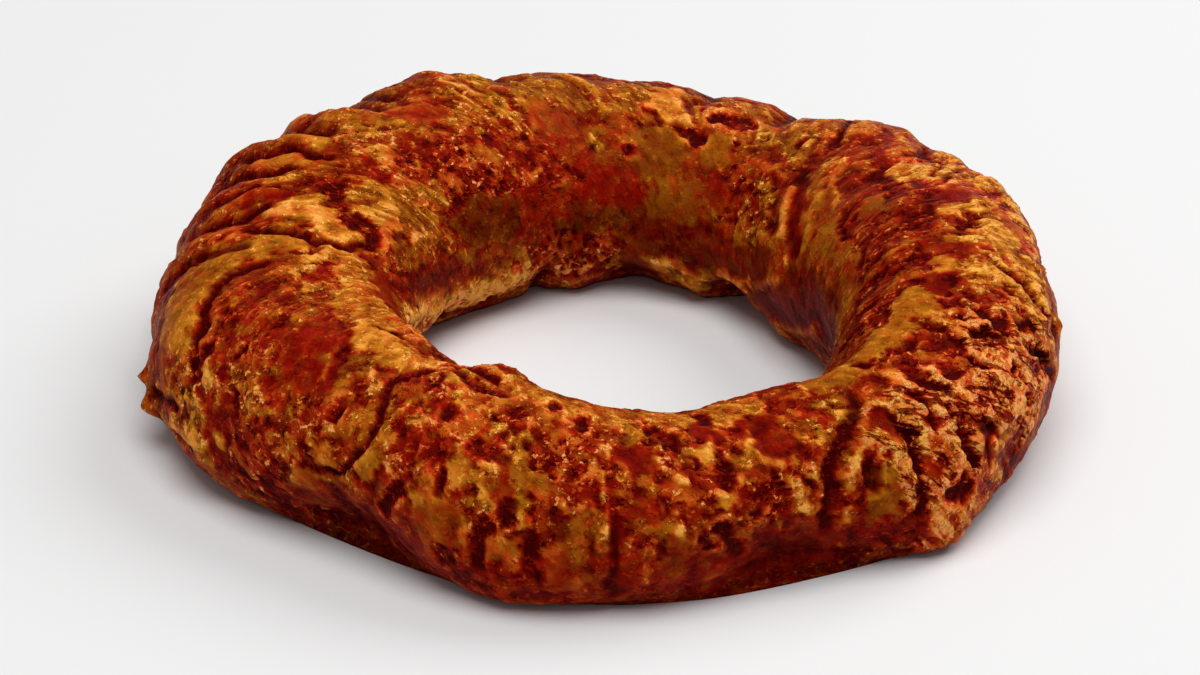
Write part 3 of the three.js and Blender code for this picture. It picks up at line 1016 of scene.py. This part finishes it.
texture_relief = (
    streaks * (STREAK_HEIGHTS[0] * streaks * fine_streaks + STREAK_HEIGHTS[1] * wide_streaks)
    + blisters * (BLISTER_HEIGHT * blister_domes - 0.15)
    + craters * (0.2 * noise_at(dough, 1.4, 18) + 0.3 - CRATER_DEPTH * crater_floor)
    + (0.1 + 0.2 * blisters) * noise_at(dough, 2.4, 14)
)
swell_relief = 0.6 * noise_at(dough, 9, 15) + 0.3 * noise_at(dough, 4.2, 19) * (0.4 + blisters)
print("texture, mm:", texture_relief.min().round(2), "to", texture_relief.max().round(2))

# %% [markdown]
# ## From grids to a shape
#
# The broad relief moves along the smooth dough's normals, and the fine relief along the
# normals of the shape that this gives, so that grains on the side of a fold point out of
# the fold. Near the tray everything fades, which keeps the base flat. The lobes at the foot
# move sideways only, for the tray stops them from going down.

# %% Push the crust out of the dough
above_base = soft_step(dough[..., 2], 0.2, 2.5)
along_floor = np.stack([np.ones_like(relief), np.ones_like(relief), soft_step(dough[..., 2], 0, 3)], -1)
shaped = dough + normals_of(dough) * along_floor * (relief + swell_relief)[..., None]
points = shaped + normals_of(shaped) * (texture_relief * above_base)[..., None]
hole_side = soft_step(tube_deg, 182, 205) * soft_step(tube_deg, 268, 240)
ring_direction = np.stack([np.cos(np.radians(ring_deg)), np.sin(np.radians(ring_deg))], -1)
foot_push = foot * hole_side * soft_step(dough[..., 2], 9, 3)
points[..., :2] -= ring_direction * foot_push[..., None]
points[..., 2] = np.maximum(points[..., 2], 0)
print("crust, mm:", points.min((0, 1)).round(1), "to", points.max((0, 1)).round(1))

# %% [markdown]
# ## Painted highlights on the crests, painted shade and syrup in the hollows
#
# Whatever stands out of the crust is painted paler, as a highlight, and keeps less syrup;
# whatever lies low is painted darker, as shade, and stays sticky. Blender's pointiness would
# measure this, but only at the scale of the mesh. Here each point is compared with a
# smoothed copy of the crust, once for grains and once for swellings.

# %% Painted light and shade follow the shape
CREST_HEIGHT = 0.22
CREST_STEPS = 2
SWELL_HEIGHT = 0.7
SWELL_STEPS = 6
DARKEST = 0.03
TONE_RANGE = 0.9


def blurred(grid, steps):
    """The grid of points with its small relief smoothed away."""
    for axis in (0, 1):
        reach = range(-steps, steps + 1)
        grid = sum(np.roll(grid, step, axis) for step in reach) / len(reach)
    return grid


def standing_out(grid, steps):
    """How far each point stands out of its smoothed surroundings, in mm."""
    smooth = blurred(blurred(grid, steps), steps)
    return ((grid - smooth) * normals_of(smooth)).sum(-1)


crests = np.clip(standing_out(points, CREST_STEPS) / CREST_HEIGHT, -1, 1) * above_base
swells = np.clip(standing_out(points, SWELL_STEPS) / SWELL_HEIGHT, -1, 1) * above_base
# Painted highlights where the crust stands out, painted shade where it lies low.
browning_and_painted_light += 0.25 * crests + 0.13 * swells
browning_and_painted_light += 0.06 * noise_at(dough, 6, 16) + 0.08 * noise_at(dough, 2.2, 17) * (0.3 + blisters)
browning_and_painted_light = np.clip(DARKEST + TONE_RANGE * browning_and_painted_light, 0, 1)
syrup += 0.2 * noise_at(dough, 7, 21) + 0.2 * noise_at(dough, 2.6, 22) - 0.15 * crests - 0.1
syrup = np.clip(syrup, 0, 1)
print("crests", np.abs(crests).mean().round(2), "swells", np.abs(swells).mean().round(2))

# %% [markdown]
# ## The crust as one mesh
#
# The grids go back into the torus: the places as its points, and the rest as attributes
# that the material reads. Values on the points travel with the mesh and need no picture.
# The crust then takes the place of the plain ring.

# %% Write the crust back to its mesh
places = points[row_of, column_of] * MM
crust_mesh.vertices.foreach_set("co", places.ravel())
grain = np.clip(0.16 + 0.84 * np.maximum(np.maximum(blisters, craters), 0.7 * streaks), 0, 1)
pulled = np.clip(1.2 * streaks - 0.1, 0, 1) * above_base
values_on_points = {
    "browning_and_painted_light": browning_and_painted_light, "syrup": syrup, "grain": grain, "pulled": pulled, "honeycomb": craters,
}
for name, field in values_on_points.items():
    values = field[row_of, column_of].astype(np.float32)
    crust_mesh.attributes.new(name, "FLOAT", "POINT").data.foreach_set("value", values)
along_strands = (strand_places(4)[row_of, column_of] * MM).astype(np.float32)
crust_mesh.attributes.new("strand", "FLOAT_VECTOR", "POINT").data.foreach_set("vector", along_strands.ravel())
crust_mesh.polygons.foreach_set("use_smooth", [True] * len(crust_mesh.polygons))
crust_mesh.update()

crust = bpy.data.objects.new("simit_crust", crust_mesh)
bpy.context.scene.collection.objects.link(crust)
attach(crust, "root")
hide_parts("simit")
print("crust:", len(crust_mesh.polygons), "faces,", len(crust_mesh.attributes), "attributes")

# %% [markdown]
# ## The finish: baked, syrupy crust
#
# A simit's crust runs from black in the folds, which is painted shade, through crimson,
# where the syrup pooled, to gold where the dough is bare. One colour ramp can't hold both
# the red and the golden browning, so there are two, mixed by the syrup. A few short
# helpers keep the node tree readable.

# %% Nodes for the baked crust
baked = bpy.data.materials.new("baked_crust")
baked.use_nodes = True
nodes, links = baked.node_tree.nodes, baked.node_tree.links
shader = nodes["Principled BSDF"]
place = nodes.new("ShaderNodeTexCoord").outputs["Object"]


def value_on_crust(name, output="Fac"):
    """Reads one of the values that were written on the crust's points."""
    node = nodes.new("ShaderNodeAttribute")
    node.attribute_name = name
    return node.outputs[output]


def math_node(operation, *values, clamp=False):
    """One sum of two or three values, each a number or a socket."""
    node = nodes.new("ShaderNodeMath")
    node.operation = operation
    node.use_clamp = clamp
    for socket, value in zip(node.inputs, values):
        if isinstance(value, (int, float)):
            socket.default_value = value
        else:
            links.new(value, socket)
    return node.outputs[0]


def noise_node(scale, detail, roughness, place=place):
    """Noise with `scale` bumps to the metre."""
    node = nodes.new("ShaderNodeTexNoise")
    node.inputs["Scale"].default_value = scale
    node.inputs["Detail"].default_value = detail
    node.inputs["Roughness"].default_value = roughness
    links.new(place, node.inputs["Vector"])
    return node.outputs["Fac"]


def stretch(value, low, high):
    """Rises smoothly from 0 at `low` to 1 at `high`."""
    node = nodes.new("ShaderNodeMapRange")
    node.interpolation_type = "SMOOTHSTEP"
    links.new(value, node.inputs["Value"])
    node.inputs["From Min"].default_value = low
    node.inputs["From Max"].default_value = high
    return node.outputs["Result"]


def mixed(*terms):
    """The sum of (value, weight) pairs."""
    total = math_node("MULTIPLY", *terms[0])
    for value, weight in terms[1:]:
        total = math_node("MULTIPLY_ADD", value, weight, total)
    return total


print("crust material:", baked.name)

# %% [markdown]
# ## Flakes, specks and cracks
#
# Close up, the crust is flaky: scales a millimetre or two wide, drawn out where the dough
# was pulled, with raised grains painted bright as glints and sunk grains painted dark as
# shade. In the honeycomb fine dark cracks run between the bubbles. A crack is where a noise
# crosses its middle value, so the distance from the middle makes a thin, branching line.

# %% Flakes, specks and the honeycomb's cracks
USUAL_TEXTURE = 0.43
CRACK_DARKNESS = -0.5

strand_place = value_on_crust("strand", "Vector")
round_flakes = noise_node(430, 4, 0.55)
long_flakes = noise_node(800, 3, 0.5, strand_place)
longer = math_node("SUBTRACT", long_flakes, round_flakes)
flakes = stretch(math_node("MULTIPLY_ADD", longer, value_on_crust("pulled"), round_flakes), 0.47, 0.53)
# Painted glints on raised specks and painted shade on sunk ones; the bump raises and sinks them too.
glint_specks = stretch(noise_node(1000, 3, 0.55), 0.57, 0.63)
shade_specks = stretch(noise_node(760, 3, 0.6), 0.42, 0.36)
fuzz = noise_node(1500, 3, 0.6)
mottle = noise_node(260, 3, 0.6)

crack_place = nodes.new("ShaderNodeMapping")
crack_place.inputs["Scale"].default_value = (1, 1, 1.8)
links.new(strand_place, crack_place.inputs["Vector"])
crack_noise = noise_node(300, 4, 0.6, crack_place.outputs["Vector"])
from_middle = math_node("ABSOLUTE", math_node("SUBTRACT", crack_noise, 0.5))
cracks = math_node("MULTIPLY", stretch(from_middle, 0.045, 0.015), value_on_crust("honeycomb"))

grain_share = value_on_crust("grain")
# The fine texture of the tone, with the painted glints and shade of the specks.
texture = mixed((flakes, 0.24), (glint_specks, 0.5), (shade_specks, -0.3), (fuzz, 0.64))
texture = math_node("MULTIPLY", math_node("SUBTRACT", texture, USUAL_TEXTURE), grain_share)
texture = math_node("MULTIPLY_ADD", cracks, CRACK_DARKNESS, texture)
mottle_share = math_node("MULTIPLY_ADD", grain_share, 0.4, 0.1)
crust_tone_and_painted_light = math_node("ADD", value_on_crust("browning_and_painted_light"), texture)
mottled = math_node("SUBTRACT", mottle, 0.5)
crust_tone_and_painted_light = math_node("MULTIPLY_ADD", mottled, mottle_share, crust_tone_and_painted_light, clamp=True)
print("noises in the crust:", sum(node.type == "TEX_NOISE" for node in nodes))

# %% [markdown]
# ## Red syrup and golden skin
#
# Each ramp goes from burnt crust and painted shade at 0 to its palest tone and painted
# highlights at 1. The red one is for skin under syrup, the golden one for bare dough. Their
# mix isn't clean: the syrup breaks up over the flakes.

# %% From browning, painted light and painted shade to colour
SYRUP_RED = [
    (0.0, (0.052, 0.0004, 0.0001)), (0.15, (0.120, 0.0014, 0.0003)), (0.33, (0.22, 0.004, 0.0008)),
    (0.5, (0.36, 0.014, 0.002)), (0.66, (0.57, 0.050, 0.006)), (0.8, (0.77, 0.115, 0.020)),
    (0.92, (0.90, 0.22, 0.055)), (1.0, (0.95, 0.34, 0.12)),
]
SKIN_GOLD = [
    (0.0, (0.026, 0.0009, 0.0001)), (0.15, (0.070, 0.0050, 0.0003)), (0.33, (0.14, 0.020, 0.0008)),
    (0.5, (0.22, 0.048, 0.0018)), (0.66, (0.34, 0.095, 0.0036)), (0.8, (0.53, 0.165, 0.009)),
    (0.92, (0.76, 0.27, 0.026)), (1.0, (0.90, 0.40, 0.07)),
]


def ramp_node(factor, stops):
    """A colour ramp with the given (position, colour) stops."""
    node = nodes.new("ShaderNodeValToRGB")
    ramp = node.color_ramp
    while len(ramp.elements) < len(stops):
        ramp.elements.new(0.5)
    for element, (position, color) in zip(ramp.elements, stops):
        element.position = position
        element.color = (*color, 1)
    links.new(factor, node.inputs["Fac"])
    return node.outputs["Color"]


broken_up = mixed((noise_node(520, 3, 0.6), 1.6), (flakes, -0.3))
syrup_share = math_node("ADD", value_on_crust("syrup"), math_node("SUBTRACT", broken_up, 0.65), clamp=True)
crust_colour = nodes.new("ShaderNodeMix")
crust_colour.data_type = "RGBA"
links.new(syrup_share, crust_colour.inputs["Factor"])
links.new(ramp_node(crust_tone_and_painted_light, SKIN_GOLD), crust_colour.inputs["A"])
links.new(ramp_node(crust_tone_and_painted_light, SYRUP_RED), crust_colour.inputs["B"])
links.new(crust_colour.outputs["Result"], shader.inputs["Base Color"])
print("stops in the two ramps:", len(SYRUP_RED), len(SKIN_GOLD))

# %% [markdown]
# ## Grain and sheen
#
# The finest grain, under half a millimetre, is too small for the mesh and is a bump. The
# syrup has dried, so the crust has only a faint, warm sheen; a strong one would veil its
# deep colours with white.

# %% Grain and sheen
GRAIN_DEPTH = 0.0006
GRAIN_STRENGTH = 0.9
CRUST_ROUGHNESS = 0.4
CRUST_SHEEN = 0.02
WARM_SHEEN = (1, 0.5, 0.25, 1)

bump = nodes.new("ShaderNodeBump")
bump.inputs["Strength"].default_value = GRAIN_STRENGTH
bump.inputs["Distance"].default_value = GRAIN_DEPTH
height = mixed((flakes, 0.5), (glint_specks, 0.7), (shade_specks, -0.6), (fuzz, 0.8), (cracks, -0.8))
links.new(math_node("MULTIPLY", height, grain_share), bump.inputs["Height"])
links.new(bump.outputs["Normal"], shader.inputs["Normal"])
shader.inputs["Roughness"].default_value = CRUST_ROUGHNESS
shader.inputs["Specular IOR Level"].default_value = CRUST_SHEEN
shader.inputs["Specular Tint"].default_value = WARM_SHEEN
crust_mesh.materials.append(baked)
print("grain, mm:", GRAIN_DEPTH / MM)

# %% [markdown]
# ## A pale table
#
# The simit lies on a matt, nearly white table, so that only its own colours show and its
# shadow is soft. It is a plain sheet far wider than the view, with no edge to be seen.

# %% Floor
FLOOR_WHITENESS = 0.785
FLOOR_ROUGHNESS = 0.9
FLOOR_SIZE = 6

bpy.ops.mesh.primitive_plane_add(size=FLOOR_SIZE)
floor = bpy.context.object
floor.name = "floor"
table_white = bpy.data.materials.new("floor")
table_white.use_nodes = True
table_shader = table_white.node_tree.nodes["Principled BSDF"]
table_shader.inputs["Base Color"].default_value = (FLOOR_WHITENESS, FLOOR_WHITENESS, FLOOR_WHITENESS, 1)
table_shader.inputs["Roughness"].default_value = FLOOR_ROUGHNESS
floor.data.materials.append(table_white)
print("table, metres:", [round(side, 1) for side in floor.dimensions])

# %% [markdown]
# ## Soft light from the back right
#
# A key light high at the back right grazes the crust, so that every fold and grain has a
# lit and a dark side; a wide light overhead fills the front, and a faint white sky keeps
# the shadows from going black. Spots or a sun would cut hard shadows into the table.

# %% Lights
SKY_STRENGTH = 0.25
BREAD_MIDDLE = (0, 0, 0.01)

scene = bpy.context.scene
scene.view_settings.view_transform = "Standard"
sky = bpy.data.worlds.new("studio")
sky.use_nodes = True
sky.node_tree.nodes["Background"].inputs["Color"].default_value = (1, 1, 1, 1)
sky.node_tree.nodes["Background"].inputs["Strength"].default_value = SKY_STRENGTH
scene.world = sky


def soft_light(name, place, target, size, power):
    """A round area light, `size` metres across, that looks at a target."""
    lamp = bpy.data.lights.new(name, "AREA")
    lamp.shape = "DISK"
    lamp.size = size
    lamp.energy = power
    light = bpy.data.objects.new(name, lamp)
    light.location = place
    light.rotation_euler = (Vector(target) - Vector(place)).to_track_quat("-Z", "Y").to_euler()
    scene.collection.objects.link(light)


soft_light("key", (0.75, 0.5, 0.85), BREAD_MIDDLE, 0.9, 7.5)
soft_light("top", (0, -0.35, 1.35), BREAD_MIDDLE, 1.1, 14)
print("lights:", [light.name for light in bpy.data.lights])

# %% [markdown]
# ## A view from the table's edge
#
# The camera looks down a little, from more than a metre away with a long lens, as someone
# leaning over a counter would see a simit: nearly without perspective, with the hole still
# open.

# %% Camera
CAMERA_ELEVATION = math.radians(28.8)
CAMERA_DISTANCE = 1.136
LENS = 223.3
SENSOR_WIDTH = 36
AIM = Vector((-0.0004, -0.0055, 0.0133))

camera_data = bpy.data.cameras.new("camera")
camera_data.lens = LENS
camera_data.sensor_width = SENSOR_WIDTH
camera = bpy.data.objects.new("camera", camera_data)
backwards = Vector((0, -math.cos(CAMERA_ELEVATION), math.sin(CAMERA_ELEVATION)))
camera.location = AIM + CAMERA_DISTANCE * backwards
camera.rotation_euler = (math.pi / 2 - CAMERA_ELEVATION, 0, 0)
scene.collection.objects.link(camera)
scene.camera = camera
print("camera at, metres:", [round(value, 3) for value in camera.location])
